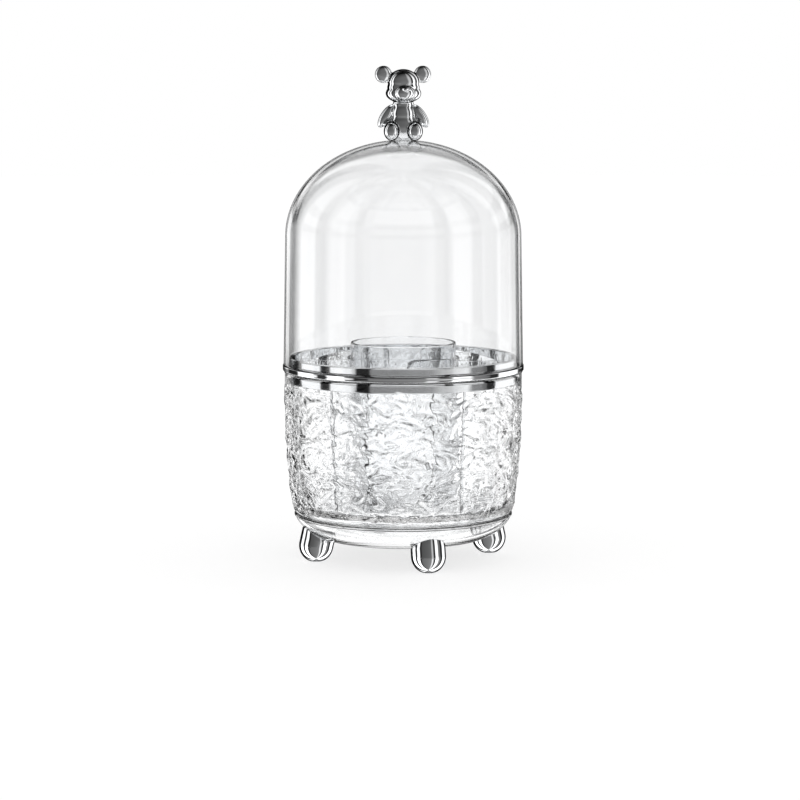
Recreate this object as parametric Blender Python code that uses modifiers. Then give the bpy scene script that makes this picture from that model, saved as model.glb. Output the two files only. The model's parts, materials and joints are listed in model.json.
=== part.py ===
"""Contact lens storage jar: a footed, ripple-walled clear cup with a plated rim, a five-way divider,
a loose centre cup, and a clear dome lid lifted by a seated teddy bear.

Metres, +Z up. The jar's axis is Z, and the origin is on the surface that the jar stands on. The bear
faces -Y. Run with: blender --background --python part.py
"""

import math

import bmesh
import bpy
from mathutils import Matrix, Vector

MM = 0.001

# Driving dimensions
JAR_RADIUS = 61.0 * MM  # the rim flange, the widest part
GAP = 0.3 * MM  # left between pieces that touch
WALL = 2.2 * MM  # cup and dish
LID_WALL = 2.0 * MM

# Heights up the axis
DISH_BOTTOM_Z = 11.0 * MM
DISH_RIM_Z = 23.7 * MM
CUP_FLOOR_Z = 26.5 * MM
FLANGE_Z = 96.4 * MM
COLLAR_TOP_Z = 103.3 * MM
DOME_SPRING_Z = 163.7 * MM  # where the lid's straight side turns into its crown
CROWN_Z = 212.1 * MM

# Base dish
DISH_FLAT_RADIUS = 40.0 * MM
DISH_RADIUS = 54.8 * MM
DISH_FLANGE_RADIUS = 55.4 * MM
DISH_FLANGE_THICKNESS = 1.4 * MM
DISH_CORNER_POWER = 1.5  # superellipse power: 2 is an ellipse, 1 a chamfer
DISH_LIP_RADIUS = 52.9 * MM
DISH_LIP_WALL = 1.8 * MM

# Cup: a barrel that tapers towards the dish
CUP_RADIUS = 60.5 * MM
CUP_TAPER_START_Z = 80.0 * MM
CUP_TAPER = 1.35  # radius lost per metre of drop, squared
CUP_FOOT_RADIUS = 55.4 * MM
CUP_CORNER_Z = 28.5 * MM

# Plated rim collar
COLLAR_RADIUS = 57.8 * MM
COLLAR_BORE = 56.2 * MM
SKIRT_DEPTH = 5.8 * MM
FLANGE_THICKNESS = 2.5 * MM
FLANGE_ROUND = 0.6 * MM

# Lid
LID_RADIUS = 60.6 * MM
LID_SPRING_RADIUS = 59.5 * MM

# Centre cup and divider
CENTRE_CUP_RADIUS = 26.6 * MM
CENTRE_CUP_FOOT_RADIUS = 25.8 * MM
CENTRE_CUP_WALL = 1.3 * MM
CENTRE_CUP_TOP_Z = 110.3 * MM
DIVIDER_TOP_Z = 92.0 * MM
DIVIDER_COUNT = 5
DIVIDER_FIRST_AZIMUTH = math.radians(32.6)
DIVIDER_THICKNESS = 1.6 * MM
DIVIDER_RADIUS = 55.6 * MM
DIVIDER_FOOT_RADIUS = 52.2 * MM
SLEEVE_BORE = 27.1 * MM
SLEEVE_WALL = 1.3 * MM

# Feet and their pads
FOOT_COUNT = 4
FOOT_FIRST_AZIMUTH = math.radians(15.8)  # from -Y towards +X
FOOT_RADIUS = 8.7 * MM
FOOT_CENTRE_RADIUS = 45.8 * MM
FOOT_CENTRE_Z = 8.0 * MM
FOOT_SPLAY = math.radians(13.0)
FOOT_LENGTH = 11.0 * MM
FOOT_FLAT_Z = 0.5 * MM
PAD_RADIUS = 3.6 * MM
PAD_THICKNESS = 1.0 * MM

# How finely round pieces are divided
ROUND_STEPS = 48
SMALL_ROUND_STEPS = 28
PAD_STEPS = 20
BEAR_VOXEL = 0.85 * MM
BEAR_KEPT_SHARE = 0.32

BEAR_NECK_Z = 20.0  # lumps above it, in millimetres over the crown, belong to the head
BEAR_HEAD_TURN = math.radians(8.0)
# Rounded lumps of the bear: centre above the crown and radii in millimetres, a lean in degrees, and the
# fullness of the front, 2 for an ellipsoid. A lump off the middle has a twin on the other side. The ear
# tips make the jar 249 mm tall.
BEAR_LUMPS = {
    "cranium": ((0.0, 0.0, 28.8), (7.7, 6.8, 6.5), 0, 3.0),
    "temples": ((0.0, -0.2, 26.2), (8.0, 6.6, 4.6), 0, 3.0),
    "cheeks": ((0.0, -0.4, 23.2), (8.8, 6.8, 4.9), 0, 3.0),
    "muzzle": ((0.0, -6.4, 23.4), (4.8, 2.9, 3.6), 0, 2.7),
    "nose": ((0.0, -9.0, 25.3), (1.6, 1.1, 1.0), 0, 2.0),
    "ear": ((9.9, 0.8, 32.65), (4.3, 2.3, 4.3), 0, 3.2),
    "neck": ((0.0, 0.2, 17.6), (5.3, 4.2, 3.4), 0, 2.5),
    "chest": ((0.0, 0.2, 12.4), (6.3, 4.9, 7.4), 0, 2.3),
    "belly": ((0.0, 0.0, 6.4), (7.9, 5.3, 7.8), 0, 2.3),
    "arm": ((8.6, -0.5, 11.9), (2.8, 2.9, 6.6), 33, 2.6),
    "leg": ((5.9, -4.4, 4.5), (3.9, 6.6, 4.8), 0, 3.2),
}


def clear_scene():
    for obj in list(bpy.data.objects):
        bpy.data.objects.remove(obj)


def new_collection(name):
    collection = bpy.data.collections.new(name)
    bpy.context.scene.collection.children.link(collection)
    return collection


def new_material(name, colour, roughness, metallic=0.0, transmission=0.0):
    material = bpy.data.materials.new(name)
    material.use_nodes = True
    shader = material.node_tree.nodes["Principled BSDF"]
    shader.inputs["Base Color"].default_value = (*colour, 1.0)
    shader.inputs["Roughness"].default_value = roughness
    shader.inputs["Metallic"].default_value = metallic
    shader.inputs["Transmission Weight"].default_value = transmission
    material.diffuse_color = (*colour, 1.0 - 0.6 * transmission)
    return material


def new_object(name, mesh, parent=None, material=None):
    """A part of the jar, or a hidden helper if it has no material."""
    obj = bpy.data.objects.new(name, mesh)
    if material is None:
        helpers.objects.link(obj)
        obj.hide_render = True
        obj.display_type = "WIRE"
    else:
        jar.objects.link(obj)
        obj.parent = parent
        obj.data.materials.clear()
        obj.data.materials.append(material)
    return obj


def new_empty(name):
    empty = bpy.data.objects.new(name, None)
    jar.objects.link(empty)
    return empty


def turned(name, profile, parent=None, material=None, ring=False, steps=ROUND_STEPS):
    """Turns (radius, height) points about Z. A ring's profile closes on itself; others end on the axis."""
    mesh = bpy.data.meshes.new(name)
    vertices = [(radius, 0.0, height) for radius, height in profile]
    edges = [(i, i + 1) for i in range(len(profile) - 1)]
    if ring:
        edges.append((len(profile) - 1, 0))
    mesh.from_pydata(vertices, edges, [])
    obj = new_object(name, mesh, parent, material)
    screw = obj.modifiers.new("turn", "SCREW")
    screw.axis = "Z"
    screw.steps = steps
    screw.render_steps = steps
    screw.use_merge_vertices = True
    screw.merge_threshold = 0.00001
    screw.use_smooth_shade = True
    return obj


def cut(obj, cutter, operation="DIFFERENCE"):
    boolean = obj.modifiers.new(operation.lower() + "_" + cutter.name, "BOOLEAN")
    boolean.operation = operation
    boolean.object = cutter
    boolean.solver = "EXACT"


def rods(name, places, radius, low, high, steps):
    """One helper mesh of upright rods, at each (x, y)."""
    shape = bmesh.new()
    for x, y in places:
        bmesh.ops.create_cone(
            shape,
            cap_ends=True,
            segments=steps,
            radius1=radius,
            radius2=radius,
            depth=high - low,
            matrix=Matrix.Translation((x, y, (low + high) / 2)),
        )
    mesh = bpy.data.meshes.new(name)
    shape.to_mesh(mesh)
    shape.free()
    return new_object(name, mesh)


def arc(start, end, count):
    """Evenly spaced values from start to end, both included."""
    return [start + (end - start) * i / (count - 1) for i in range(count)]


def around(radius, azimuth):
    """The place at that azimuth, measured from -Y towards +X."""
    return radius * math.sin(azimuth), -radius * math.cos(azimuth)


def foot_azimuths():
    return [FOOT_FIRST_AZIMUTH + math.tau * k / FOOT_COUNT for k in range(FOOT_COUNT)]


def dish_corner(inset, count):
    """The dish's rounded corner from its rim down to its flat, moved inwards by inset."""
    points = []
    for angle in arc(math.pi / 2, 0.0, count):
        out = math.sin(angle) ** (2 / DISH_CORNER_POWER)
        down = math.cos(angle) ** (2 / DISH_CORNER_POWER)
        radius = DISH_FLAT_RADIUS + (DISH_RADIUS - DISH_FLAT_RADIUS - inset) * out
        top = DISH_RIM_Z - DISH_FLANGE_THICKNESS
        points.append((radius, top - (top - DISH_BOTTOM_Z - inset) * down))
    return points


def cup_outside(height):
    """The cup's outer radius at that height."""
    drop = max(0.0, CUP_TAPER_START_Z - height)
    return CUP_RADIUS - CUP_TAPER * drop * drop


def crown(radius, spring_radius, rise):
    """Height of a lid surface above the spring line."""
    return rise * math.sqrt(1 - (radius / spring_radius) ** 2)


def make_base_dish(parent, material):
    lip_inside = DISH_LIP_RADIUS - DISH_LIP_WALL
    lip_top = CUP_FLOOR_Z - GAP
    rim_under = DISH_RIM_Z - DISH_FLANGE_THICKNESS
    inside = dish_corner(WALL, 6)[1:]
    profile = [(0.0, DISH_BOTTOM_Z + WALL)]
    profile += reversed(inside)
    profile += [(lip_inside, rim_under), (lip_inside, lip_top), (DISH_LIP_RADIUS, lip_top)]
    profile += [(DISH_LIP_RADIUS, DISH_RIM_Z), (DISH_FLANGE_RADIUS, DISH_RIM_Z)]
    profile += [(DISH_FLANGE_RADIUS, rim_under)]
    profile += dish_corner(0.0, 8)
    profile += [(0.0, DISH_BOTTOM_Z)]
    return turned("base_dish", profile, parent, material)


def make_cup(parent, material):
    floor_top = CUP_FLOOR_Z + WALL
    top = FLANGE_Z - GAP
    skirt_low = DISH_RIM_Z + GAP
    skirt_inside = DISH_LIP_RADIUS + GAP
    floor_radius = cup_outside(floor_top) - WALL - 2.0 * MM
    profile = [(0.0, floor_top), (floor_radius, floor_top)]
    profile += [(floor_radius + 1.4 * MM, floor_top + 0.6 * MM)]
    for height in arc(floor_top + 2.0 * MM, CUP_TAPER_START_Z, 6):
        profile.append((cup_outside(height) - WALL, height))
    profile += [(CUP_RADIUS - WALL, top), (CUP_RADIUS, top)]
    for height in arc(CUP_TAPER_START_Z, CUP_CORNER_Z, 8):
        profile.append((cup_outside(height), height))
    profile += [(CUP_FOOT_RADIUS, skirt_low), (skirt_inside, skirt_low)]
    profile += [(skirt_inside, CUP_FLOOR_Z), (0.0, CUP_FLOOR_Z)]
    return turned("ripple_cup", profile, parent, material)


def make_rim_collar(parent, material):
    flange_top = FLANGE_Z + FLANGE_THICKNESS
    skirt_radius = CUP_RADIUS - WALL - GAP
    soft = FLANGE_ROUND
    profile = [
        (COLLAR_BORE + soft, COLLAR_TOP_Z),
        (COLLAR_RADIUS - soft, COLLAR_TOP_Z),
        (COLLAR_RADIUS, COLLAR_TOP_Z - soft),
        (COLLAR_RADIUS, flange_top),
        (JAR_RADIUS - soft, flange_top),
        (JAR_RADIUS, flange_top - soft),
        (JAR_RADIUS, FLANGE_Z + soft),
        (JAR_RADIUS - soft, FLANGE_Z),
        (skirt_radius, FLANGE_Z),
        (skirt_radius, FLANGE_Z - SKIRT_DEPTH),
        (COLLAR_BORE, FLANGE_Z - SKIRT_DEPTH),
        (COLLAR_BORE, COLLAR_TOP_Z - soft),
    ]
    return turned("rim_collar", profile, parent, material, ring=True)


def make_dome_lid(parent, material):
    seat = FLANGE_Z + FLANGE_THICKNESS + GAP
    rise = CROWN_Z - DOME_SPRING_Z
    inner_spring = LID_SPRING_RADIUS - LID_WALL
    inner_rise = rise - LID_WALL
    profile = []
    for angle in arc(0.0, math.pi / 2, 11):
        radius = LID_SPRING_RADIUS * math.sin(angle)
        profile.append((radius, DOME_SPRING_Z + rise * math.cos(angle)))
    profile += [(LID_RADIUS, seat), (LID_RADIUS - LID_WALL, seat)]
    for angle in arc(math.pi / 2, 0.0, 10):
        radius = inner_spring * math.sin(angle)
        profile.append((radius, DOME_SPRING_Z + inner_rise * math.cos(angle)))
    return turned("dome_lid", profile, parent, material)


def make_centre_cup(parent, material):
    low = CUP_FLOOR_Z + WALL + GAP
    floor_top = low + CENTRE_CUP_WALL
    wall = CENTRE_CUP_WALL
    profile = [
        (0.0, floor_top),
        (CENTRE_CUP_FOOT_RADIUS - wall, floor_top),
        (CENTRE_CUP_RADIUS - wall, CENTRE_CUP_TOP_Z),
        (CENTRE_CUP_RADIUS, CENTRE_CUP_TOP_Z),
        (CENTRE_CUP_FOOT_RADIUS, low + wall / 2),
        (CENTRE_CUP_FOOT_RADIUS - wall / 2, low),
        (0.0, low),
    ]
    return turned("centre_cup", profile, parent, material)


def make_divider(parent, material):
    """A sleeve round the centre cup with upright fins, one moulding."""
    low = CUP_FLOOR_Z + WALL + GAP
    outside = SLEEVE_BORE + SLEEVE_WALL
    profile = [(SLEEVE_BORE, DIVIDER_TOP_Z), (outside, DIVIDER_TOP_Z), (outside, low), (SLEEVE_BORE, low)]
    divider = turned("divider_insert", profile, parent, material, ring=True)
    fins = []
    for k in range(DIVIDER_COUNT):
        azimuth = DIVIDER_FIRST_AZIMUTH + math.tau * k / DIVIDER_COUNT
        fins.append(make_fin(f"divider_fin_{k + 1}", azimuth, low))
    for fin in fins:
        cut(divider, fin, "UNION")
    return divider


def make_fin(name, azimuth, low):
    """An upright fin from inside the sleeve's wall out to the cup's wall."""
    inner = SLEEVE_BORE + SLEEVE_WALL / 2
    shape = bmesh.new()
    bmesh.ops.create_cube(shape, size=1.0)
    for corner in shape.verts:
        outer = DIVIDER_RADIUS if corner.co.z > 0 else DIVIDER_FOOT_RADIUS
        corner.co.x = outer if corner.co.x > 0 else inner
        corner.co.y *= DIVIDER_THICKNESS
        corner.co.z = DIVIDER_TOP_Z if corner.co.z > 0 else low
    mesh = bpy.data.meshes.new(name)
    shape.to_mesh(mesh)
    shape.free()
    fin = new_object(name, mesh)
    fin.rotation_euler.z = azimuth - math.pi / 2
    return fin


def make_feet(parent, plated, soft):
    """Splayed round-ended feet, each cut to the dish it is bonded to, with a pad let into its tip."""
    azimuths = foot_azimuths()
    envelope = [(0.0, DISH_RIM_Z), (DISH_FLANGE_RADIUS + GAP, DISH_RIM_Z)]
    envelope += [(radius + GAP, height - GAP) for radius, height in dish_corner(0.0, 8)]
    envelope += [(0.0, DISH_BOTTOM_Z - GAP)]
    dish_cutter = turned("dish_envelope", envelope)
    places = [around(FOOT_CENTRE_RADIUS, azimuth) for azimuth in azimuths]
    flats = rods("foot_flats", places, FOOT_RADIUS * 1.2, -FOOT_RADIUS, FOOT_FLAT_Z, SMALL_ROUND_STEPS)
    recess_radius = PAD_RADIUS + GAP
    recesses = rods("foot_recesses", places, recess_radius, -FOOT_RADIUS, PAD_THICKNESS + GAP, PAD_STEPS)
    profile = [(0.0, FOOT_LENGTH), (FOOT_RADIUS, FOOT_LENGTH)]
    for angle in arc(0.0, math.pi / 2, 7):
        profile.append((FOOT_RADIUS * math.cos(angle), -FOOT_RADIUS * math.sin(angle)))
    profile[-1] = (0.0, -FOOT_RADIUS)
    pad_profile = [(0.0, PAD_THICKNESS), (PAD_RADIUS, PAD_THICKNESS), (PAD_RADIUS, 0.0), (0.0, 0.0)]
    for k, azimuth in enumerate(azimuths):
        foot = turned(f"foot_{k + 1}", profile, parent, plated, steps=SMALL_ROUND_STEPS)
        foot.location = (*places[k], FOOT_CENTRE_Z)
        foot.rotation_euler = (-FOOT_SPLAY, 0.0, azimuth)
        for cutter in (dish_cutter, flats, recesses):
            cut(foot, cutter)
        pad = turned(f"foot_pad_{k + 1}", pad_profile, parent, soft, steps=PAD_STEPS)
        pad.location = (*places[k], 0.0)


def add_lump(shape, centre, radii, lean, fullness):
    """An ellipsoid whose front and back are flattened by the fullness; the head's lumps share its turn."""
    matrix = Matrix.Rotation(BEAR_HEAD_TURN if centre[2] > BEAR_NECK_Z else 0.0, 4, "Z")
    matrix @= Matrix.Translation(Vector(centre) * MM)
    matrix @= Matrix.Rotation(math.radians(lean), 4, "Y")
    matrix @= Matrix.Diagonal((*[radius * MM for radius in radii], 1.0))
    ball = bmesh.ops.create_uvsphere(shape, u_segments=32, v_segments=20, radius=1.0)["verts"]
    for vertex in ball:
        x, y, z = vertex.co
        swell = (math.hypot(x, z) ** fullness + abs(y) ** fullness) ** (-1 / fullness)
        vertex.co = matrix @ (vertex.co * swell)


def make_bear(parent, material):
    """A seated teddy bear: rounded lumps joined into one skin, then seated on the lid's crown."""
    shape = bmesh.new()
    for (x, y, z), radii, lean, fullness in BEAR_LUMPS.values():
        add_lump(shape, (x, y, z), radii, -lean, fullness)
        if x:
            add_lump(shape, (-x, y, z), radii, lean, fullness)
    mesh = bpy.data.meshes.new("bear_finial")
    shape.to_mesh(mesh)
    shape.free()
    bear = new_object("bear_finial", mesh, parent, material)
    bear.location.z = CROWN_Z
    remesh = bear.modifiers.new("one_skin", "REMESH")
    remesh.mode = "VOXEL"
    remesh.voxel_size = BEAR_VOXEL
    remesh.use_smooth_shade = True
    fewer = bear.modifiers.new("fewer_faces", "DECIMATE")
    fewer.ratio = BEAR_KEPT_SHARE
    rise = CROWN_Z - DOME_SPRING_Z + GAP
    under = [(0.0, DOME_SPRING_Z + rise)]
    for radius in arc(5.0 * MM, 30.0 * MM, 6):
        under.append((radius, DOME_SPRING_Z + crown(radius, LID_SPRING_RADIUS, rise)))
    under += [(30.0 * MM, DOME_SPRING_Z), (0.0, DOME_SPRING_Z)]
    cut(bear, turned("crown_envelope", under))
    return bear


clear_scene()
jar = new_collection("contact_lens_jar")
helpers = new_collection("cutters")

clear_plastic = new_material("clear_plastic", (0.95, 0.97, 0.98), 0.04, transmission=1.0)
plated_plastic = new_material("plated_plastic", (0.82, 0.83, 0.84), 0.06, metallic=1.0)
soft_silicone = new_material("soft_silicone", (0.72, 0.74, 0.75), 0.5)

base = new_empty("base")
lid = new_empty("lid")
divider = new_empty("divider")
centre = new_empty("centre")

make_base_dish(base, clear_plastic)
make_cup(base, clear_plastic)
make_rim_collar(base, plated_plastic)
make_feet(base, plated_plastic, soft_silicone)
make_dome_lid(lid, clear_plastic)
make_bear(lid, plated_plastic)
make_centre_cup(centre, clear_plastic)
make_divider(divider, clear_plastic)
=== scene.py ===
"""Looks for the contact lens jar: fine surfaces for every piece, clear plastic and bright plating, and a
plain white studio whose tall panels give the plating its upright bands.

Metres, in the frame's own axes: +Z up the jar's axis, and the bear faces -Y.
"""

import json
import math

import bmesh
import bpy
from mathutils import Matrix, Vector, noise

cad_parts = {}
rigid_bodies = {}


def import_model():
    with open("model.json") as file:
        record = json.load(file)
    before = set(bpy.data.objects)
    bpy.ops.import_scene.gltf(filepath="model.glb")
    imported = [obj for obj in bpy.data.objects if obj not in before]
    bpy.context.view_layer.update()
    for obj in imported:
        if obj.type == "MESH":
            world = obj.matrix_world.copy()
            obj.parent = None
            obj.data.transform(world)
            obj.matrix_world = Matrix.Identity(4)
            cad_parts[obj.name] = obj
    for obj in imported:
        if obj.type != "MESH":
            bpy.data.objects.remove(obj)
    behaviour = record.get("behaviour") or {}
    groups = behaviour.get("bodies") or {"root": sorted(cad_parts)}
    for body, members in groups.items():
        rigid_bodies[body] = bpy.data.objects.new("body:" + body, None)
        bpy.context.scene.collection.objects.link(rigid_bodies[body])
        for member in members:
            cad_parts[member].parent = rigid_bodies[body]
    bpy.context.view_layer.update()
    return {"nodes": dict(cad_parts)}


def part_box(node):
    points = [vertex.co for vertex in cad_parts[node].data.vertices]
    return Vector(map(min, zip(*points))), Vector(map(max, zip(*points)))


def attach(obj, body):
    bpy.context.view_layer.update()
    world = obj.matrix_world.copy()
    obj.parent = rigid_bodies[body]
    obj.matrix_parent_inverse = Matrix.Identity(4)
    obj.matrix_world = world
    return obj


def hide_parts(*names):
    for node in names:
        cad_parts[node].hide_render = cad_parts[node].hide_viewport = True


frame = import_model()
boxes = {name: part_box(name) for name in frame["nodes"]}

MM = 0.001

# How finely round pieces are divided
ROUND_STEPS = 160
SMALL_ROUND_STEPS = 72
BALL_STEPS = (64, 40)
CORNER_STEPS = 4
SHARP_ANGLE = math.radians(35)

GAP = 0.3 * MM  # left between pieces that touch
EDGE = 0.45 * MM  # rounding of moulded edges
SEAM = 0.75 * MM  # softening of both sides of the joint between cup and dish
JOINT_SHADE_GREY = 0.05  # painted shade where clear pieces meet others, seen as thin dark rings
JOINT_SHADE_DEPTH = 0.72 * MM  # how far in from the outside the rings of painted shade reach

# Cup
CUP_WALL = 2.2 * MM
CUP_TAPER_START_Z = 80.0 * MM
CUP_TAPER = 1.35
CUP_CORNER_Z = 28.5 * MM
CUP_FOOT_RADIUS = 55.4 * MM
CUP_FLOOR_RISE = 2.5 * MM  # the floor's underside above the foot
CUP_FLOOR_CURL = 3.0 * MM
CUP_FLOOR_CURL_HEIGHT = 4.0 * MM

# Dish
DISH_FLAT_RADIUS = 40.0 * MM
DISH_RADIUS = 54.8 * MM
DISH_FLANGE_THICKNESS = 1.4 * MM
DISH_CORNER_POWER = 1.5  # superellipse power: 2 is an ellipse, 1 a chamfer
DISH_LIP_RADIUS = 52.9 * MM
DISH_LIP_WALL = 1.8 * MM
DISH_LIP_HEIGHT = 2.5 * MM

# Collar
COLLAR_BORE = 56.2 * MM
COLLAR_BAND_RADIUS = 57.8 * MM
COLLAR_BRIM_ROUNDING = 0.35 * MM
COLLAR_CORNER_ROUNDING = 0.2 * MM

# Lid
LID_WALL = 2.0 * MM
SPRING_Z = 163.7 * MM
SPRING_RADIUS = 59.5 * MM

# Divider and centre cup
SLEEVE_BORE = 27.1 * MM
SLEEVE_WALL = 1.3 * MM
FIN_COUNT = 5
FIN_FIRST_TURN = math.radians(32.6)
FIN_TOP_RADIUS = 55.6 * MM
FIN_FOOT_RADIUS = 52.2 * MM
FIN_THICKNESS = 1.6 * MM
FIN_OVERLAP = 0.6 * MM
FIN_ROUNDING = 0.35 * MM
CENTRE_CUP_WALL = 1.3 * MM
CENTRE_CUP_DRAFT = 0.8 * MM  # how much narrower its foot is

# Ripples moulded into the cup's outer face
RIPPLE_STEPS = 440
RIPPLE_ROWS = 176
RIPPLE_DEPTH = 1.25 * MM
RIPPLE_SIZE = 8.0 * MM
RIPPLE_FADE = 1.5 * MM
RIPPLE_CALM = 6.0 * MM  # nearly smooth this far below the rim, in front of the collar's skirt
RIPPLE_GROWTH = 3.5 * MM  # and in full this much lower
RIPPLE_SEED = 7  # noise_vector starts from the clock unless it is given a seed
WRINKLE_SCALE = 130.0
WRINKLE_DEPTH = 0.02 * MM

# Feet
FOOT_RADIUS = 8.7 * MM
FOOT_CENTRE_Z = 8.0 * MM
FOOT_SPLAY = math.radians(13.0)
FOOT_FLAT_Z = 0.5 * MM
FOOT_ROUNDING = 0.5 * MM
FOOT_SHARP_ANGLE = math.radians(50)

# Bear: rounded lumps, as in the CAD part: centre above the crown and radii in millimetres, a lean in
# degrees and the fullness of the front, 2 for an ellipsoid. A lump off the middle has a twin on the other
# side.
BEAR_LUMPS = {
    "cranium": ((0.0, 0.0, 28.8), (7.7, 6.8, 6.5), 0, 3.0),
    "temples": ((0.0, -0.2, 26.2), (8.0, 6.6, 4.6), 0, 3.0),
    "cheeks": ((0.0, -0.4, 23.2), (8.8, 6.8, 4.9), 0, 3.0),
    "muzzle": ((0.0, -6.4, 23.4), (4.8, 2.9, 3.6), 0, 2.7),
    "nose": ((0.0, -9.0, 25.3), (1.6, 1.1, 1.0), 0, 2.0),
    "ear": ((9.9, 0.8, 32.65), (4.3, 2.3, 4.3), 0, 3.2),
    "neck": ((0.0, 0.2, 17.6), (5.3, 4.2, 3.4), 0, 2.5),
    "chest": ((0.0, 0.2, 12.4), (6.3, 4.9, 7.4), 0, 2.3),
    "belly": ((0.0, 0.0, 6.4), (7.9, 5.3, 7.8), 0, 2.3),
    "arm": ((8.6, -0.5, 11.9), (2.8, 2.9, 6.6), 33, 2.6),
    "leg": ((5.9, -4.4, 4.5), (3.9, 6.6, 4.8), 0, 3.2),
}
BEAR_NECK_Z = 20.0  # lumps above it belong to the head
BEAR_HEAD_TURN = math.radians(8.0)
BEAR_VOXEL = 0.3 * MM

# Camera, at the height and distance that a product picture of a jar this size is taken from
CAMERA_DISTANCE = 1.46
CAMERA_HEIGHT = 0.2652
CAMERA_ASIDE = -1.65 * MM
CAMERA_PITCH = math.radians(7.21)
CAMERA_LENS = 130.5
CAMERA_SENSOR = 36.0

# Studio: upright panels round the jar, as (azimuth in degrees from -Y towards +X, brightness). One set
# stands at the collar's level, the other above and below it.
LEVEL_PANELS = [
    (-180, 0.16),
    (-143, 0.30),
    (-141, 0.02),
    (-121, 0.02),
    (-119, 1.15),
    (-91, 1.15),
    (-89, 0.04),
    (-78, 0.04),
    (-76, 1.10),
    (-54, 1.10),
    (-49, 0.60),
    (-47, 0.02),
    (-34, 0.02),
    (-33, 0.22),
    (28, 0.28),
    (40, 0.60),
    (66, 0.95),
    (72, 0.22),
    (90, 0.16),
    (91, 0.03),
    (102, 0.03),
    (104, 1.15),
    (140, 1.15),
    (143, 0.05),
    (180, 0.05),
]
HIGH_PANELS = [
    (-180, 1.10),
    (-146, 1.10),
    (-142, 0.02),
    (-122, 0.02),
    (-118, 1.40),
    (-97, 1.40),
    (-93, 0.02),
    (-80, 0.02),
    (-76, 1.40),
    (-60, 1.40),
    (-56, 0.02),
    (-47, 0.02),
    (-43, 0.09),
    (0, 0.13),
    (20, 0.16),
    (24, 0.60),
    (31, 0.60),
    (35, 0.10),
    (40, 0.02),
    (46, 0.02),
    (50, 1.40),
    (66, 1.40),
    (70, 0.22),
    (84, 0.16),
    (88, 0.02),
    (102, 0.02),
    (106, 1.40),
    (138, 1.40),
    (142, 0.02),
    (148, 0.02),
    (152, 1.10),
    (180, 1.10),
]
# How bright the high panels are, by height in degrees
HIGH_PANELS_FADING = [(-90, 1.8), (-12, 1.7), (2, 1.0), (18, 1.0), (45, 0.45), (62, 0.02), (90, 0.02)]
# Where the level panels take over from the high ones, outside the jar and within its plastic, by height
LEVEL_OUTSIDE = [(-90, 0.0), (-7.3, 0.0), (-7.1, 1.0), (-5.9, 1.0), (-5.7, 0.0), (90, 0.0)]
LEVEL_WITHIN = [(-90, 0.0), (-9, 0.0), (-8.5, 1.0), (-4.5, 1.0), (-4, 0.0), (90, 0.0)]
# What dims the high panels behind the jar, by degrees round from straight behind
BACK_PANELS = [
    (0, 0.22),
    (14, 0.14),
    (17, 0.02),
    (22, 0.02),
    (25, 1.2),
    (35, 1.2),
    (40, 1.0),
    (180, 1.0),
]
# The same studio as it is seen bent by clear plastic: white with a few thin dark gaps, by degrees round
# from straight behind, and by height
BENT_GAPS = [
    (0, 1.4),
    (8, 1.4),
    (9, 0.0),
    (16, 0.0),
    (17, 1.4),
    (25, 1.4),
    (26, 0.0),
    (36, 0.0),
    (38, 1.4),
    (52, 1.4),
    (54, 0.0),
    (68, 0.0),
    (70, 1.3),
    (180, 1.3),
]
BENT_LEVELS = [
    (-90, 1.0),
    (-7.0, 1.0),
    (-6.6, 0.705),
    (3, 0.705),
    (4, 0.0),
    (9, 0.0),
    (10, 0.9),
    (17, 0.9),
    (18, 0.0),
    (25, 0.0),
    (26, 0.9),
    (54, 0.9),
    (62, 0.5),
    (90, 0.4),
]
# How much of the gaps shows, by height: none through the cup's wall, little through the lid's side
GAPS_SHOWN = [(-90, 0.0), (-7.0, 0.0), (-6.6, 0.4), (-2.4, 0.4), (-1.6, 1.0), (90, 1.0)]
# And as it is seen mirrored within clear plastic, by azimuth like the panels
MIRRORED_GAPS = [
    (-180, 1.1),
    (-143, 1.1),
    (-141, 0.0),
    (-121, 0.0),
    (-119, 1.1),
    (-91, 1.1),
    (-89, 0.0),
    (-77, 0.0),
    (-75, 1.1),
    (-49, 1.1),
    (-47, 0.0),
    (-33, 0.0),
    (-31, 1.1),
    (40, 1.1),
    (42, 0.0),
    (50, 0.0),
    (52, 1.1),
    (86, 1.1),
    (88, 0.0),
    (102, 0.0),
    (104, 1.1),
    (141, 1.1),
    (143, 0.0),
    (156, 0.0),
    (158, 1.1),
    (180, 1.1),
]


# Mesh tools


def levels(name):
    """The lowest and highest level of a CAD node."""
    low, high = boxes[name]
    return low.z, high.z


def reach(name):
    """The largest radius of a turned CAD node."""
    return boxes[name][1].x


def arc(start, end, count):
    """Evenly spaced values from start to end, both included."""
    return [start + (end - start) * i / (count - 1) for i in range(count)]


def rounded(corners, ring=False):
    """A profile from (radius, height, rounding) corners. The ends of an open profile stay sharp."""
    points = []
    count = len(corners)
    for i, (radius, height, rounding) in enumerate(corners):
        here = Vector((radius, height))
        if not rounding or (not ring and i in (0, count - 1)):
            points.append(tuple(here))
            continue
        before = (Vector(corners[i - 1][:2]) - here).normalized()
        after = (Vector(corners[(i + 1) % count][:2]) - here).normalized()
        half = before.angle(after) / 2
        centre = here + (before + after).normalized() * rounding / math.sin(half)
        start = here + before * rounding / math.tan(half) - centre
        turn = start.angle_signed(here + after * rounding / math.tan(half) - centre)
        for k in range(CORNER_STEPS + 1):
            spoke = start.copy()
            spoke.rotate(Matrix.Rotation(-turn * k / CORNER_STEPS, 2))
            points.append(tuple(centre + spoke))
    return points


def evaluated(obj):
    """The object's mesh with its modifiers applied."""
    return bpy.data.meshes.new_from_object(obj.evaluated_get(bpy.context.evaluated_depsgraph_get()))


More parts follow.
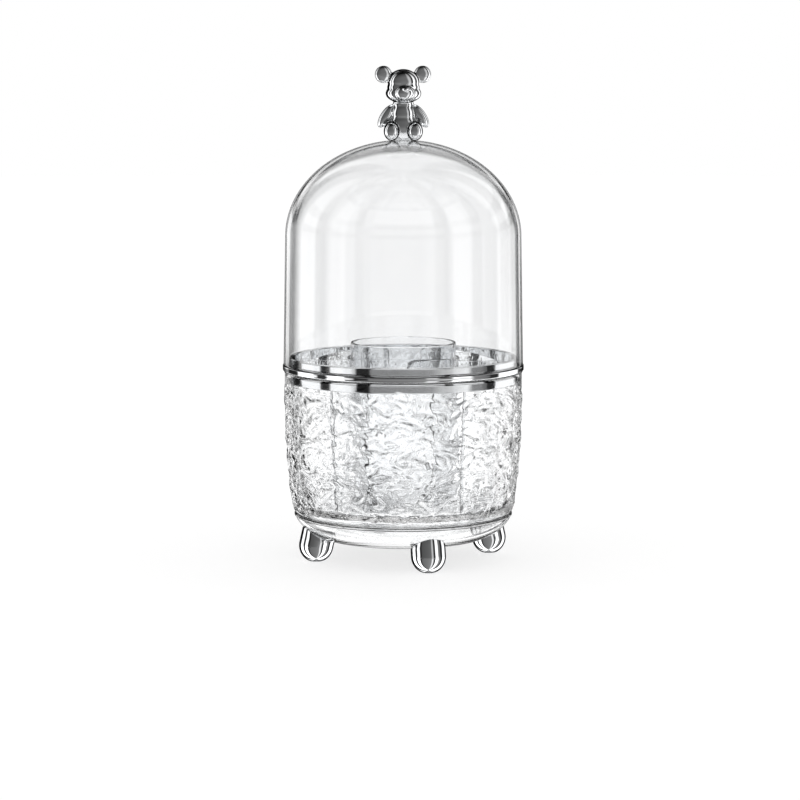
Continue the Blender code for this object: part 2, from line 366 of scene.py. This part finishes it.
def finished(name, shape, material, sharp=SHARP_ANGLE):
    """A shown piece from a bmesh, faces out and shaded smooth between sharp edges."""
    bmesh.ops.recalc_face_normals(shape, faces=shape.faces)
    mesh = bpy.data.meshes.new(name)
    shape.to_mesh(mesh)
    shape.free()
    mesh.shade_smooth()
    mesh.set_sharp_from_angle(angle=sharp)
    obj = bpy.data.objects.new(name, mesh)
    bpy.context.scene.collection.objects.link(obj)
    mesh.materials.append(material)
    even_shading(obj)
    return obj


def even_shading(obj):
    """Gives each corner the direction of its broadest face, so that flats beside rounded edges stay flat."""
    modifier = obj.modifiers.new("even_shading", "WEIGHTED_NORMAL")
    modifier.keep_sharp = True
    mesh = evaluated(obj)
    obj.modifiers.clear()
    obj.data = mesh


def skin(shape, rows, steps):
    """Joins each row of points to the next with faces. A row of one point is a tip."""
    for upper, lower in zip(rows, rows[1:]):
        for k in range(steps):
            corners = [upper[k % len(upper)], upper[(k + 1) % len(upper)]]
            corners += [lower[(k + 1) % len(lower)], lower[k % len(lower)]]
            shape.faces.new(list(dict.fromkeys(corners)))


def turned(name, profile, material, ring=False, steps=ROUND_STEPS, push=None):
    """A turned piece from (radius, height) points. A ring's profile closes on itself; other ends lie on
    the axis. push(azimuth, radius, height) moves a point outwards."""
    shape = bmesh.new()
    rows = []
    for radius, height in profile:
        if radius < 1e-9:
            rows.append([shape.verts.new((0.0, 0.0, height))])
            continue
        row = []
        for k in range(steps):
            azimuth = math.tau * k / steps
            out = radius + (push(azimuth, radius, height) if push else 0.0)
            row.append(shape.verts.new((out * math.sin(azimuth), -out * math.cos(azimuth), height)))
        rows.append(row)
    skin(shape, rows + rows[:1] if ring else rows, steps)
    return finished(name, shape, material)


def stand_in(piece, body, cad_node):
    """Makes a piece ride on a body and stand for a CAD node."""
    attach(piece, body)
    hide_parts(cad_node)
    return piece


# Material tools


def feed(tree, socket, value):
    """Sets an input to a value, or links another node's socket to it."""
    if isinstance(value, bpy.types.NodeSocket):
        tree.links.new(value, socket)
    else:
        socket.default_value = value


def node(tree, kind, **inputs):
    """A shader node with some inputs fed, by name."""
    made = tree.nodes.new(kind)
    for name, value in inputs.items():
        feed(tree, made.inputs[name], value)
    return made


def maths(tree, operation, *values):
    made = tree.nodes.new("ShaderNodeMath")
    made.operation = operation
    for socket, value in zip(made.inputs, values):
        feed(tree, socket, value)
    return made.outputs[0]


def blend(tree, factor, first, second, mode="MIX"):
    """Two colours mixed; each is a socket or a grey."""
    made = tree.nodes.new("ShaderNodeMix")
    made.data_type = "RGBA"
    made.blend_type = mode
    feed(tree, made.inputs["Factor"], factor)
    for name, value in (("A", first), ("B", second)):
        is_socket = isinstance(value, bpy.types.NodeSocket)
        feed(tree, made.inputs[name], value if is_socket else (value, value, value, 1.0))
    return made.outputs["Result"]


def ramp(tree, factor, stops):
    """A colour ramp through (position, grey or colour) stops."""
    made = tree.nodes.new("ShaderNodeValToRGB")
    elements = made.color_ramp.elements
    elements.remove(elements[1])
    for i, (position, colour) in enumerate(stops):
        element = elements.new(position) if i else elements[0]
        element.position = position
        element.color = (*colour, 1.0) if isinstance(colour, tuple) else (colour, colour, colour, 1.0)
    tree.links.new(factor, made.inputs[0])
    return made.outputs[0]


def new_material(name):
    material = bpy.data.materials.new(name)
    material.use_nodes = True
    tree = material.node_tree
    return material, tree, tree.nodes["Principled BSDF"], tree.nodes["Material Output"]


def object_noise(tree, scale, detail=3.0):
    where = tree.nodes.new("ShaderNodeTexCoord").outputs["Object"]
    return node(tree, "ShaderNodeTexNoise", Vector=where, Scale=scale, Detail=detail).outputs["Fac"]


def object_place(tree):
    """A point's place on its object, its distance from the jar's axis, and its level."""
    where = tree.nodes.new("ShaderNodeTexCoord").outputs["Object"]
    x, y, z = node(tree, "ShaderNodeSeparateXYZ", Vector=where).outputs
    squares = maths(tree, "ADD", maths(tree, "MULTIPLY", x, x), maths(tree, "MULTIPLY", y, y))
    return where, maths(tree, "SQRT", squares), z


def painted_shade_rings(tree, radius, rings):
    """White, but with painted shade on two rings outside that radius, each a (level, half width)."""
    _, out, z = object_place(tree)
    upper, lower = [maths(tree, "COMPARE", z, level, half) for level, half in rings]
    ringed = maths(tree, "MINIMUM", maths(tree, "ADD", upper, lower), 1.0)
    outside = maths(tree, "GREATER_THAN", out, radius)
    return blend(tree, maths(tree, "MULTIPLY", outside, ringed), 1.0, JOINT_SHADE_GREY)


def clear_plastic(name, edge, wrinkled=False, rings=()):
    """Polished clear plastic with faint moulding waves, and painted shade that makes it a little greyer
    where it is seen edge on.
    """
    material, tree, shader, _ = new_material(name)
    facing = node(tree, "ShaderNodeLayerWeight", Blend=0.5).outputs["Facing"]
    # Painted shade: the colour greys towards edge where the surface is seen edge on
    tint = ramp(tree, facing, [(0.0, (0.994, 0.996, 0.998)), (0.8, (0.99, 0.992, 0.994)), (1.0, edge)])
    flow = object_noise(tree, 55.0)
    shade = ramp(tree, flow, [(0.3, (0.990, 0.992, 0.994)), (0.7, (1.0, 1.0, 1.0))])
    colour = blend(tree, 1.0, tint, shade, "MULTIPLY")
    if rings:
        # Painted shade: thin dark rings where this piece meets others
        joint_shade = painted_shade_rings(tree, CUP_FOOT_RADIUS - JOINT_SHADE_DEPTH, rings)
        colour = blend(tree, 1.0, colour, joint_shade, "MULTIPLY")
    tree.links.new(colour, shader.inputs["Base Color"])
    bump = node(tree, "ShaderNodeBump", Height=flow, Strength=0.02, Distance=0.0004)
    if wrinkled:
        fine = node(tree, "ShaderNodeBump", Height=wrinkles(tree), Strength=1.0, Distance=WRINKLE_DEPTH)
        tree.links.new(fine.outputs[0], bump.inputs["Normal"])
    tree.links.new(bump.outputs[0], shader.inputs["Normal"])
    shader.inputs["Transmission Weight"].default_value = 1.0
    shader.inputs["IOR"].default_value = 1.49
    shader.inputs["Roughness"].default_value = 0.0
    return material


def wrinkles(tree):
    """The finest ripples of the cup's outer face, between the ones that its mesh has."""
    where, radius, z = object_place(tree)
    flow = node(tree, "ShaderNodeTexNoise", Vector=where, Scale=WRINKLE_SCALE, Detail=2.0, Distortion=1.2)
    drop = maths(tree, "MAXIMUM", maths(tree, "SUBTRACT", CUP_TAPER_START_Z, z), 0.0)
    taper = maths(tree, "MULTIPLY", maths(tree, "MULTIPLY", drop, drop), CUP_TAPER)
    face = maths(tree, "SUBTRACT", reach("ripple_cup") - CUP_WALL / 2, taper)
    outside = maths(tree, "GREATER_THAN", radius, face)
    below = maths(tree, "SUBTRACT", levels("ripple_cup")[1] - RIPPLE_CALM, z)
    growth = maths(tree, "MINIMUM", maths(tree, "DIVIDE", below, RIPPLE_GROWTH), 1.0)
    height = maths(tree, "MULTIPLY", flow.outputs["Fac"], maths(tree, "MAXIMUM", growth, 0.0))
    return maths(tree, "MULTIPLY", height, outside)


def plating(name, edge_shade_start, edge_shade_end):
    """Bright plating on moulded plastic: a mirror with slight waves and faint smears, and painted shade that
    makes it dark where it is seen edge on.
    """
    material, tree, shader, _ = new_material(name)
    smear = object_noise(tree, 90.0, 4.0)
    tint = ramp(tree, smear, [(0.3, (0.84, 0.85, 0.86)), (0.7, (0.90, 0.91, 0.92))])
    facing = node(tree, "ShaderNodeLayerWeight", Blend=0.5).outputs["Facing"]
    # Painted shade: colour and specular tint go dark where the surface is seen edge on, as dark outlines
    edge = ramp(tree, facing, [(0.0, 1.0), (edge_shade_start, 1.0), (edge_shade_end, 0.04), (1.0, 0.02)])
    tree.links.new(blend(tree, 1.0, tint, edge, "MULTIPLY"), shader.inputs["Base Color"])
    tree.links.new(edge, shader.inputs["Specular Tint"])
    tree.links.new(ramp(tree, smear, [(0.35, 0.01), (0.75, 0.035)]), shader.inputs["Roughness"])
    waves = object_noise(tree, 160.0, 1.0)
    bump = node(tree, "ShaderNodeBump", Height=waves, Strength=0.03, Distance=0.0003)
    tree.links.new(bump.outputs[0], shader.inputs["Normal"])
    shader.inputs["Metallic"].default_value = 1.0
    return material


def silicone(name):
    """Soft translucent silicone with a fine matt grain."""
    material, tree, shader, _ = new_material(name)
    grain = object_noise(tree, 1800.0, 2.0)
    cloud = object_noise(tree, 300.0, 2.0)
    tint = ramp(tree, cloud, [(0.3, (0.70, 0.72, 0.73)), (0.7, (0.80, 0.81, 0.82))])
    tree.links.new(tint, shader.inputs["Base Color"])
    bump = node(tree, "ShaderNodeBump", Height=grain, Strength=0.25, Distance=0.00005)
    tree.links.new(bump.outputs[0], shader.inputs["Normal"])
    shader.inputs["Roughness"].default_value = 0.45
    shader.inputs["Transmission Weight"].default_value = 0.35
    return material


# Pieces


def cup_outside(height):
    """The cup's outer radius at that height, without its ripples."""
    drop = max(0.0, CUP_TAPER_START_Z - max(height, CUP_CORNER_Z))
    radius = reach("ripple_cup") - CUP_TAPER * drop * drop
    if height < CUP_CORNER_Z:
        foot_z = levels("ripple_cup")[0] + SEAM
        share = (CUP_CORNER_Z - height) / (CUP_CORNER_Z - foot_z)
        radius += (CUP_FOOT_RADIUS - radius) * share
    return radius


def ripple(azimuth, radius, height):
    """How far the wall stands out: broad dimples that a slow swirl bends, with crests between them."""
    low, high = levels("ripple_cup")
    place = Vector((radius * math.sin(azimuth), -radius * math.cos(azimuth), height * 1.25)) / RIPPLE_SIZE
    swirl = noise.noise_vector(place * 0.7) * 0.9
    broad = noise.noise(place + swirl)
    crests = 1.0 - 2.0 * abs(noise.noise(place * 1.9 + swirl * 1.5 + Vector((5.2, 1.3, 8.1))))
    fine = noise.noise(place * 4.0 + swirl * 2.0)
    level = 0.52 * broad + 0.42 * (crests - 0.6) + 0.06 * fine
    fade = max(0.0, min(1.0, (height - low) / RIPPLE_FADE - 1.0, (high - height) / RIPPLE_FADE))
    calm = max(0.05, min(1.0, (high - height - RIPPLE_CALM) / RIPPLE_GROWTH))
    return RIPPLE_DEPTH * (level * calm - 0.4) * fade


def make_cup(material):
    """The rippled cup: its wall and floor, and a foot that stands on the dish's flange."""
    noise.seed_set(RIPPLE_SEED)
    low, high = levels("ripple_cup")
    floor_under = low + CUP_FLOOR_RISE
    floor_top = floor_under + CUP_WALL
    curl_top = floor_top + CUP_FLOOR_CURL_HEIGHT
    outside = [(cup_outside(z), z) for z in arc(high - EDGE, low + SEAM, RIPPLE_ROWS)]
    inside = [(cup_outside(z) - CUP_WALL, z) for z in arc(curl_top, high, 16)]
    flat_radius = cup_outside(curl_top) - CUP_WALL - CUP_FLOOR_CURL
    profile = [(0.0, floor_top), (flat_radius, floor_top)]
    for angle in arc(0.0, math.pi / 2, 8)[1:]:
        out = flat_radius + CUP_FLOOR_CURL * math.sin(angle)
        profile.append((out, curl_top - CUP_FLOOR_CURL_HEIGHT * math.cos(angle)))
    profile += inside[1:-1]
    wall_top = rounded(
        [
            (*inside[-2], 0),
            (*inside[-1], EDGE),
            (cup_outside(high), high, EDGE),
            (*outside[1], 0),
        ]
    )
    profile += wall_top[1:-1]
    profile += outside[1:]
    profile += [(CUP_FOOT_RADIUS - SEAM, low), (DISH_LIP_RADIUS + GAP, low)]
    profile += [(DISH_LIP_RADIUS + GAP, floor_under), (0.0, floor_under)]
    edge = outside[0][1]

    def push(azimuth, radius, height):
        wall = low + SEAM < height < edge and radius > cup_outside(height) - CUP_WALL / 2
        return ripple(azimuth, radius, height) if wall else 0.0

    cup = turned("ripple_cup_wall", profile, material, steps=RIPPLE_STEPS, push=push)
    return stand_in(cup, "base", "ripple_cup")


def dish_corner(inset, count):
    """The dish's rounded corner from its rim down to its flat, moved inwards by inset."""
    low, high = levels("base_dish")
    top = high - DISH_LIP_HEIGHT - DISH_FLANGE_THICKNESS
    points = []
    for angle in arc(math.pi / 2, 0.0, count):
        out = math.sin(angle) ** (2 / DISH_CORNER_POWER)
        down = math.cos(angle) ** (2 / DISH_CORNER_POWER)
        radius = DISH_FLAT_RADIUS + (DISH_RADIUS - DISH_FLAT_RADIUS - inset) * out
        points.append((radius, top - (top - low - inset) * down))
    return points


def make_dish(material):
    """The dish, with a flange that the cup stands on and a lip within the cup's foot."""
    low, high = levels("base_dish")
    flange_radius = reach("base_dish")
    flange_top = high - DISH_LIP_HEIGHT
    rim_under = flange_top - DISH_FLANGE_THICKNESS
    lip_inside = DISH_LIP_RADIUS - DISH_LIP_WALL
    profile = [(0.0, low + CUP_WALL)]
    profile += reversed(dish_corner(CUP_WALL, 22)[1:])
    profile += rounded(
        [
            (lip_inside, rim_under, 0),
            (lip_inside, high, EDGE),
            (DISH_LIP_RADIUS, high, EDGE),
            (DISH_LIP_RADIUS, flange_top, 0),
            (flange_radius, flange_top, SEAM),
            (flange_radius, rim_under, EDGE),
            (DISH_RADIUS, rim_under, 0),
        ]
    )
    profile += dish_corner(0.0, 26)[1:]
    profile += [(0.0, low)]
    dish = turned("base_dish_shell", profile, material)
    return stand_in(dish, "base", "base_dish")


def make_collar(material):
    """The plated ring: a skirt within the cup, a flange on its rim and a band within the lid."""
    low, high = levels("rim_collar")
    brim = reach("rim_collar")
    flange_low = levels("ripple_cup")[1] + GAP
    flange_top = levels("dome_lid")[0] - GAP
    skirt = reach("ripple_cup") - CUP_WALL - GAP
    full_round = (COLLAR_BAND_RADIUS - COLLAR_BORE) / 2 - 0.05 * MM
    profile = rounded(
        [
            (COLLAR_BORE, high, full_round),
            (COLLAR_BAND_RADIUS, high, full_round),
            (COLLAR_BAND_RADIUS, flange_top, COLLAR_CORNER_ROUNDING),
            (brim, flange_top, COLLAR_BRIM_ROUNDING),
            (brim, flange_low, COLLAR_BRIM_ROUNDING),
            (skirt, flange_low, COLLAR_CORNER_ROUNDING),
            (skirt, low, EDGE),
            (COLLAR_BORE, low, EDGE),
        ],
        ring=True,
    )
    collar = turned("rim_collar_ring", profile, material, ring=True)
    return stand_in(collar, "base", "rim_collar")


def crown(radius, spring_radius, rise):
    """Height of the crown above the spring line."""
    return rise * math.sqrt(max(0.0, 1 - (radius / spring_radius) ** 2))


def make_dome(material):
    """The lid: a side that leans in slightly up to the spring line, and a domed crown."""
    seat, top = levels("dome_lid")
    skirt = reach("dome_lid")
    rise = top - SPRING_Z
    profile = []
    for angle in arc(0.0, math.pi / 2, 48):
        profile.append((SPRING_RADIUS * math.sin(angle), SPRING_Z + rise * math.cos(angle)))
    profile += rounded(
        [
            (SPRING_RADIUS, SPRING_Z, 0),
            (skirt, seat, EDGE),
            (skirt - LID_WALL, seat, EDGE),
            (SPRING_RADIUS - LID_WALL, SPRING_Z, 0),
        ]
    )[1:-1]
    for angle in arc(math.pi / 2, 0.0, 44):
        radius = (SPRING_RADIUS - LID_WALL) * math.sin(angle)
        profile.append((radius, SPRING_Z + (rise - LID_WALL) * math.cos(angle)))
    profile[0] = (0.0, profile[0][1])
    profile[-1] = (0.0, profile[-1][1])
    dome = turned("dome_lid_shell", profile, material)
    return stand_in(dome, "lid", "dome_lid")


def make_centre_cup(material):
    """The small cup that stands in the sleeve."""
    low, high = levels("centre_cup")
    radius = reach("centre_cup")
    foot = radius - CENTRE_CUP_DRAFT
    floor_top = low + CENTRE_CUP_WALL
    profile = rounded(
        [
            (0.0, floor_top, 0),
            (foot - CENTRE_CUP_WALL, floor_top, 1.5 * MM),
            (radius - CENTRE_CUP_WALL, high, EDGE),
            (radius, high, EDGE),
            (foot, low, 1.2 * MM),
            (0.0, low, 0),
        ]
    )
    cup = turned("centre_cup_shell", profile, material)
    return stand_in(cup, "centre", "centre_cup")


def make_divider(material):
    """The sleeve and its fins, one moulding."""
    low, high = levels("divider_insert")
    outside = SLEEVE_BORE + SLEEVE_WALL
    corners = [(SLEEVE_BORE, high), (outside, high), (outside, low), (SLEEVE_BORE, low)]
    profile = rounded([(*corner, EDGE) for corner in corners], ring=True)
    sleeve = turned("divider_insert_moulding", profile, material, ring=True)
    for k in range(FIN_COUNT):
        azimuth = FIN_FIRST_TURN + math.tau * k / FIN_COUNT
        fin = make_fin(azimuth, low, high, outside - FIN_OVERLAP, material)
        union = sleeve.modifiers.new(fin.name, "BOOLEAN")
        union.operation = "UNION"
        union.object = fin
        union.solver = "EXACT"
    mesh = evaluated(sleeve)
    sleeve.modifiers.clear()
    sleeve.data = mesh
    mesh.shade_smooth()
    mesh.set_sharp_from_angle(angle=SHARP_ANGLE)
    even_shading(sleeve)
    for obj in [o for o in bpy.data.objects if o.name.startswith("fin_cutter")]:
        bpy.data.objects.remove(obj)
    return stand_in(sleeve, "divider", "divider_insert")


def make_fin(azimuth, low, high, inner, material):
    """A thin upright blade, wider at its top, with its outer and upper edges rounded."""
    shape = bmesh.new()
    bmesh.ops.create_cube(shape, size=1.0)
    for corner in shape.verts:
        outer = FIN_TOP_RADIUS if corner.co.z > 0 else FIN_FOOT_RADIUS
        corner.co.x = outer if corner.co.x > 0 else inner
        corner.co.y *= FIN_THICKNESS
        corner.co.z = high if corner.co.z > 0 else low

    def is_open(edge):
        outer = sum(end.co.x > inner + MM for end in edge.verts)
        upper = sum(end.co.z > low + MM for end in edge.verts)
        return outer + upper >= 2

    open_edges = [edge for edge in shape.edges if is_open(edge)]
    bmesh.ops.bevel(shape, geom=open_edges, offset=FIN_ROUNDING, segments=3, affect="EDGES", profile=0.5)
    shape.transform(Matrix.Rotation(azimuth - math.pi / 2, 4, "Z"))
    return finished("fin_cutter", shape, material)


def within_dish(point):
    """Whether a point is above the dish's underside, and so within the dish."""
    low, high = levels("base_dish")
    radius = math.hypot(point.x, point.y)
    top = high - DISH_LIP_HEIGHT - DISH_FLANGE_THICKNESS
    out = min(1.0, max(0.0, (radius - DISH_FLAT_RADIUS) / (DISH_RADIUS - DISH_FLAT_RADIUS)))
    down = (1.0 - out**DISH_CORNER_POWER) ** (1 / DISH_CORNER_POWER)
    return point.z > top - (top - low) * down


def to_dish(point, axis):
    """The place along axis where a point first meets the dish."""
    near, far = 0.0, 25.0 * MM
    for _ in range(30):
        middle = (near + far) / 2
        if within_dish(point + axis * middle):
            far = middle
        else:
            near = middle
    return point + axis * (near - 0.05 * MM)


def make_foot(number, material):
    """A round-ended foot whose top lies on the dish's underside."""
    pad_low, pad_high = boxes[f"foot_pad_{number}"]
    place = Vector(((pad_low.x + pad_high.x) / 2, (pad_low.y + pad_high.y) / 2, FOOT_CENTRE_Z))
    azimuth = math.atan2(place.x, -place.y)
    turn = Matrix.Rotation(azimuth, 3, "Z") @ Matrix.Rotation(-FOOT_SPLAY, 3, "X")
    axis = turn @ Vector((0, 0, 1))
    shape = bmesh.new()
    rows = []

    def spokes(fall=0.0):
        """Directions round the foot's axis, falling below its level by that angle."""
        for k in range(SMALL_ROUND_STEPS):
            angle = math.tau * k / SMALL_ROUND_STEPS
            across = Vector((math.cos(angle), math.sin(angle), 0)) * math.cos(fall)
            yield turn @ (across - Vector((0, 0, math.sin(fall))))

    def add_row(points):
        rows.append([shape.verts.new(point) for point in points])

    for share in (0.15, 0.4, 0.7, 0.92):
        add_row([to_dish(place + spoke * FOOT_RADIUS * share, axis) for spoke in spokes()])
    rims = [(spoke, to_dish(place + spoke * FOOT_RADIUS, axis)) for spoke in spokes()]
    for share in (0.30, 1.0):
        add_row([rim - (spoke * (1 - share) + axis * share) * FOOT_ROUNDING for spoke, rim in rims])
    for share in (0.6, 0.3, 0.0):
        sides = [(rim - axis * FOOT_ROUNDING, place + spoke * FOOT_RADIUS) for spoke, rim in rims]
        add_row([upper.lerp(lower, 1 - share) for upper, lower in sides])
    for fall in arc(0.0, math.pi / 2, 26)[1:-1]:
        points = [place + spoke * FOOT_RADIUS for spoke in spokes(fall)]
        add_row([(point.x, point.y, max(point.z, FOOT_FLAT_Z)) for point in points])
    top = shape.verts.new(to_dish(place, axis))
    tip = place - axis * FOOT_RADIUS
    tip.z = FOOT_FLAT_Z
    bottom = shape.verts.new(tip)
    skin(shape, [[top]] + rows + [[bottom]], SMALL_ROUND_STEPS)
    foot = finished(f"foot_{number}_bullet", shape, material, sharp=FOOT_SHARP_ANGLE)
    return stand_in(foot, "base", f"foot_{number}")


def make_pad(number, material):
    """A thin disc on the foot's flat tip."""
    low, high = boxes[f"foot_pad_{number}"]
    radius = (high.x - low.x) / 2
    top = FOOT_FLAT_Z - 0.02 * MM
    profile = rounded([(0.0, top, 0), (radius, top, 0.1 * MM), (radius, 0.0, 0.25 * MM), (0.0, 0.0, 0)])
    pad = turned(f"foot_pad_{number}_disc", profile, material, steps=SMALL_ROUND_STEPS)
    middle = (low + high) / 2
    pad.data.transform(Matrix.Translation((middle.x, middle.y, 0.0)))
    return stand_in(pad, "base", f"foot_pad_{number}")


def make_bear(material):
    """The seated bear: lumps merged into one smooth skin, whose underside lies on the crown."""
    highest = levels("bear_finial")[1]
    top = levels("dome_lid")[1]
    shape = bmesh.new()
    for centre, radii, lean, fullness in BEAR_LUMPS.values():
        for side in ((1, -1) if centre[0] else (1,)):
            matrix = Matrix.Rotation(BEAR_HEAD_TURN if centre[2] > BEAR_NECK_Z else 0.0, 4, "Z")
            matrix @= Matrix.Translation(Vector((centre[0] * side, centre[1], centre[2])) * MM)
            matrix @= Matrix.Rotation(math.radians(-lean * side), 4, "Y")
            matrix @= Matrix.Diagonal((*[radius * MM for radius in radii], 1.0))
            around, down = BALL_STEPS
            ball = bmesh.ops.create_uvsphere(shape, u_segments=around, v_segments=down, radius=1.0)
            for vertex in ball["verts"]:
                x, y, z = vertex.co
                swell = (math.hypot(x, z) ** fullness + abs(y) ** fullness) ** (-1 / fullness)
                vertex.co = matrix @ (vertex.co * swell)
    bear = finished("bear_finial_skin", shape, material)
    remesh = bear.modifiers.new("one_skin", "REMESH")
    remesh.mode = "VOXEL"
    remesh.voxel_size = BEAR_VOXEL
    smooth = bear.modifiers.new("soft_creases", "SMOOTH")
    smooth.factor = 0.5
    smooth.iterations = 5
    mesh = evaluated(bear)
    bear.modifiers.clear()
    bear.data = mesh
    mesh.transform(Matrix.Translation((0, 0, top)))
    rise = top - SPRING_Z + 0.05 * MM
    for vertex in mesh.vertices:
        seat = SPRING_Z + crown(math.hypot(vertex.co.x, vertex.co.y), SPRING_RADIUS, rise)
        vertex.co.z = min(max(vertex.co.z, seat), highest)
    mesh.shade_smooth()
    return stand_in(bear, "lid", "bear_finial")


# Studio


def make_world():
    """A plain white studio. What a piece has reflected or bent sees panels and dark gaps instead."""
    world = bpy.data.worlds.new("studio")
    world.use_nodes = True
    bpy.context.scene.world = world
    tree = world.node_tree
    tree.nodes.clear()
    direction = tree.nodes.new("ShaderNodeTexCoord").outputs["Generated"]
    x, y, z = node(tree, "ShaderNodeSeparateXYZ", Vector=direction).outputs
    azimuth = maths(tree, "ARCTAN2", x, maths(tree, "MULTIPLY", y, -1.0))
    turn = maths(tree, "ADD", maths(tree, "DIVIDE", azimuth, math.tau), 0.5)
    behind = maths(tree, "SUBTRACT", math.pi, maths(tree, "ABSOLUTE", azimuth))
    off_axis = maths(tree, "DIVIDE", behind, math.pi)
    height = maths(tree, "ADD", maths(tree, "DIVIDE", maths(tree, "ARCSINE", z), math.pi), 0.5)

    def by_turn(panels):
        return ramp(tree, turn, [((angle + 180) / 360, grey) for angle, grey in panels])

    def by_height(stops):
        return ramp(tree, height, [((angle + 90) / 180, grey) for angle, grey in stops])

    def by_turn_from_behind(stops):
        return ramp(tree, off_axis, [(angle / 180, grey) for angle, grey in stops])

    # What bright pieces and the outside of clear ones reflect
    high = blend(tree, 1.0, by_turn(HIGH_PANELS), by_height(HIGH_PANELS_FADING), "MULTIPLY")
    high = blend(tree, 1.0, high, by_turn_from_behind(BACK_PANELS), "MULTIPLY")
    outside = blend(tree, by_height(LEVEL_OUTSIDE), high, by_turn(LEVEL_PANELS))

    # What light that has passed into clear plastic meets, bent or mirrored on its way. Light mirrored once
    # behind one wall is the collar's, and meets the level panels.
    gaps = blend(tree, by_height(GAPS_SHOWN), BENT_GAPS[0][1], by_turn_from_behind(BENT_GAPS))
    bent = blend(tree, 1.0, gaps, by_height(BENT_LEVELS), "MULTIPLY")
    mirrored = blend(tree, 1.0, by_turn(MIRRORED_GAPS), by_height(BENT_LEVELS), "MULTIPLY")
    path = tree.nodes.new("ShaderNodeLightPath")
    turned_back = maths(tree, "GREATER_THAN", path.outputs["Glossy Depth"], 0.5)
    once = maths(tree, "COMPARE", path.outputs["Glossy Depth"], 1.0, 0.5)
    one_wall = maths(tree, "LESS_THAN", path.outputs["Transmission Depth"], 4.5)
    off_collar = maths(tree, "MULTIPLY", maths(tree, "MULTIPLY", once, one_wall), by_height(LEVEL_WITHIN))
    within = blend(tree, turned_back, bent, mirrored)
    within = blend(tree, off_collar, within, by_turn(LEVEL_PANELS))

    # Lit matt surfaces and the camera see plain white
    direct = maths(tree, "LESS_THAN", path.outputs["Diffuse Depth"], 0.5)
    reflected = maths(tree, "MULTIPLY", turned_back, direct)
    through = maths(tree, "GREATER_THAN", path.outputs["Transmission Depth"], 0.5)
    seen = blend(tree, reflected, 1.0, outside)
    seen = blend(tree, maths(tree, "MULTIPLY", through, direct), seen, within)
    background = node(tree, "ShaderNodeBackground", Color=seen, Strength=1.0)
    output = tree.nodes.new("ShaderNodeOutputWorld")
    tree.links.new(background.outputs[0], output.inputs["Surface"])


def make_floor():
    """A white floor that fades into the studio. What is reflected or bent sees the studio through it."""
    shape = bmesh.new()
    bmesh.ops.create_circle(shape, cap_ends=True, segments=96, radius=4.0)
    material, tree, shader, output = new_material("white_floor")
    grain = object_noise(tree, 3.0)
    tint = ramp(tree, grain, [(0.3, (0.29, 0.29, 0.29)), (0.7, (0.30, 0.30, 0.30))])
    tree.links.new(tint, shader.inputs["Base Color"])
    shader.inputs["Roughness"].default_value = 0.9
    shader.inputs["Specular IOR Level"].default_value = 0.0
    shader.inputs["Emission Color"].default_value = (1.0, 1.0, 1.0, 1.0)
    shader.inputs["Emission Strength"].default_value = 0.73
    path = tree.nodes.new("ShaderNodeLightPath")
    turns = maths(tree, "ADD", path.outputs["Glossy Depth"], path.outputs["Transmission Depth"])
    indirect = maths(tree, "GREATER_THAN", turns, 0.5)
    open_floor = tree.nodes.new("ShaderNodeBsdfTransparent")
    mixed = tree.nodes.new("ShaderNodeMixShader")
    tree.links.new(indirect, mixed.inputs[0])
    tree.links.new(shader.outputs[0], mixed.inputs[1])
    tree.links.new(open_floor.outputs[0], mixed.inputs[2])
    tree.links.new(mixed.outputs[0], output.inputs["Surface"])
    floor = finished("floor", shape, material)
    floor.location.z = -0.05 * MM


def make_camera():
    data = bpy.data.cameras.new("camera")
    data.lens = CAMERA_LENS
    data.sensor_width = CAMERA_SENSOR
    data.clip_end = 20.0
    camera = bpy.data.objects.new("camera", data)
    bpy.context.scene.collection.objects.link(camera)
    camera.location = (CAMERA_ASIDE, -CAMERA_DISTANCE, CAMERA_HEIGHT)
    camera.rotation_euler = (math.pi / 2 - CAMERA_PITCH, 0.0, 0.0)
    bpy.context.scene.camera = camera


def set_view():
    scene = bpy.context.scene
    scene.view_settings.view_transform = "Standard"
    scene.cycles.max_bounces = 32
    scene.cycles.transmission_bounces = 28
    scene.cycles.glossy_bounces = 12
    scene.cycles.transparent_max_bounces = 32


# The last colour of each clear material is its painted shade where it is seen edge on
clear = clear_plastic("clear_plastic", (0.75, 0.77, 0.80))
# Rings of painted shade where pieces meet, as (level, half width)
flange_top = levels("base_dish")[1] - DISH_LIP_HEIGHT
dish_shade_rings = [(flange_top, 0.50 * MM), (flange_top - DISH_FLANGE_THICKNESS, 0.30 * MM)]
cup_foot, cup_rim = levels("ripple_cup")
cup_shade_rings = [(cup_rim, 0.45 * MM), (cup_foot, 0.30 * MM)]
dish_clear = clear_plastic("dish_plastic", (0.75, 0.77, 0.80), rings=dish_shade_rings)
rippled = clear_plastic("ripple_plastic", (0.70, 0.72, 0.75), wrinkled=True, rings=cup_shade_rings)
# The two numbers are where the painted shade at the edges begins and where it is full
plated = plating("plated_plastic", 0.74, 0.90)
plated_small = plating("plated_plastic_small", 0.52, 0.68)
soft = silicone("soft_silicone")

make_camera()
make_world()
make_floor()
make_cup(rippled)
make_dish(dish_clear)
make_collar(plated)
make_dome(clear)
make_centre_cup(clear)
make_divider(clear)
for number in range(1, 5):
    make_foot(number, plated_small)
    make_pad(number, soft)
make_bear(plated_small)
set_view()
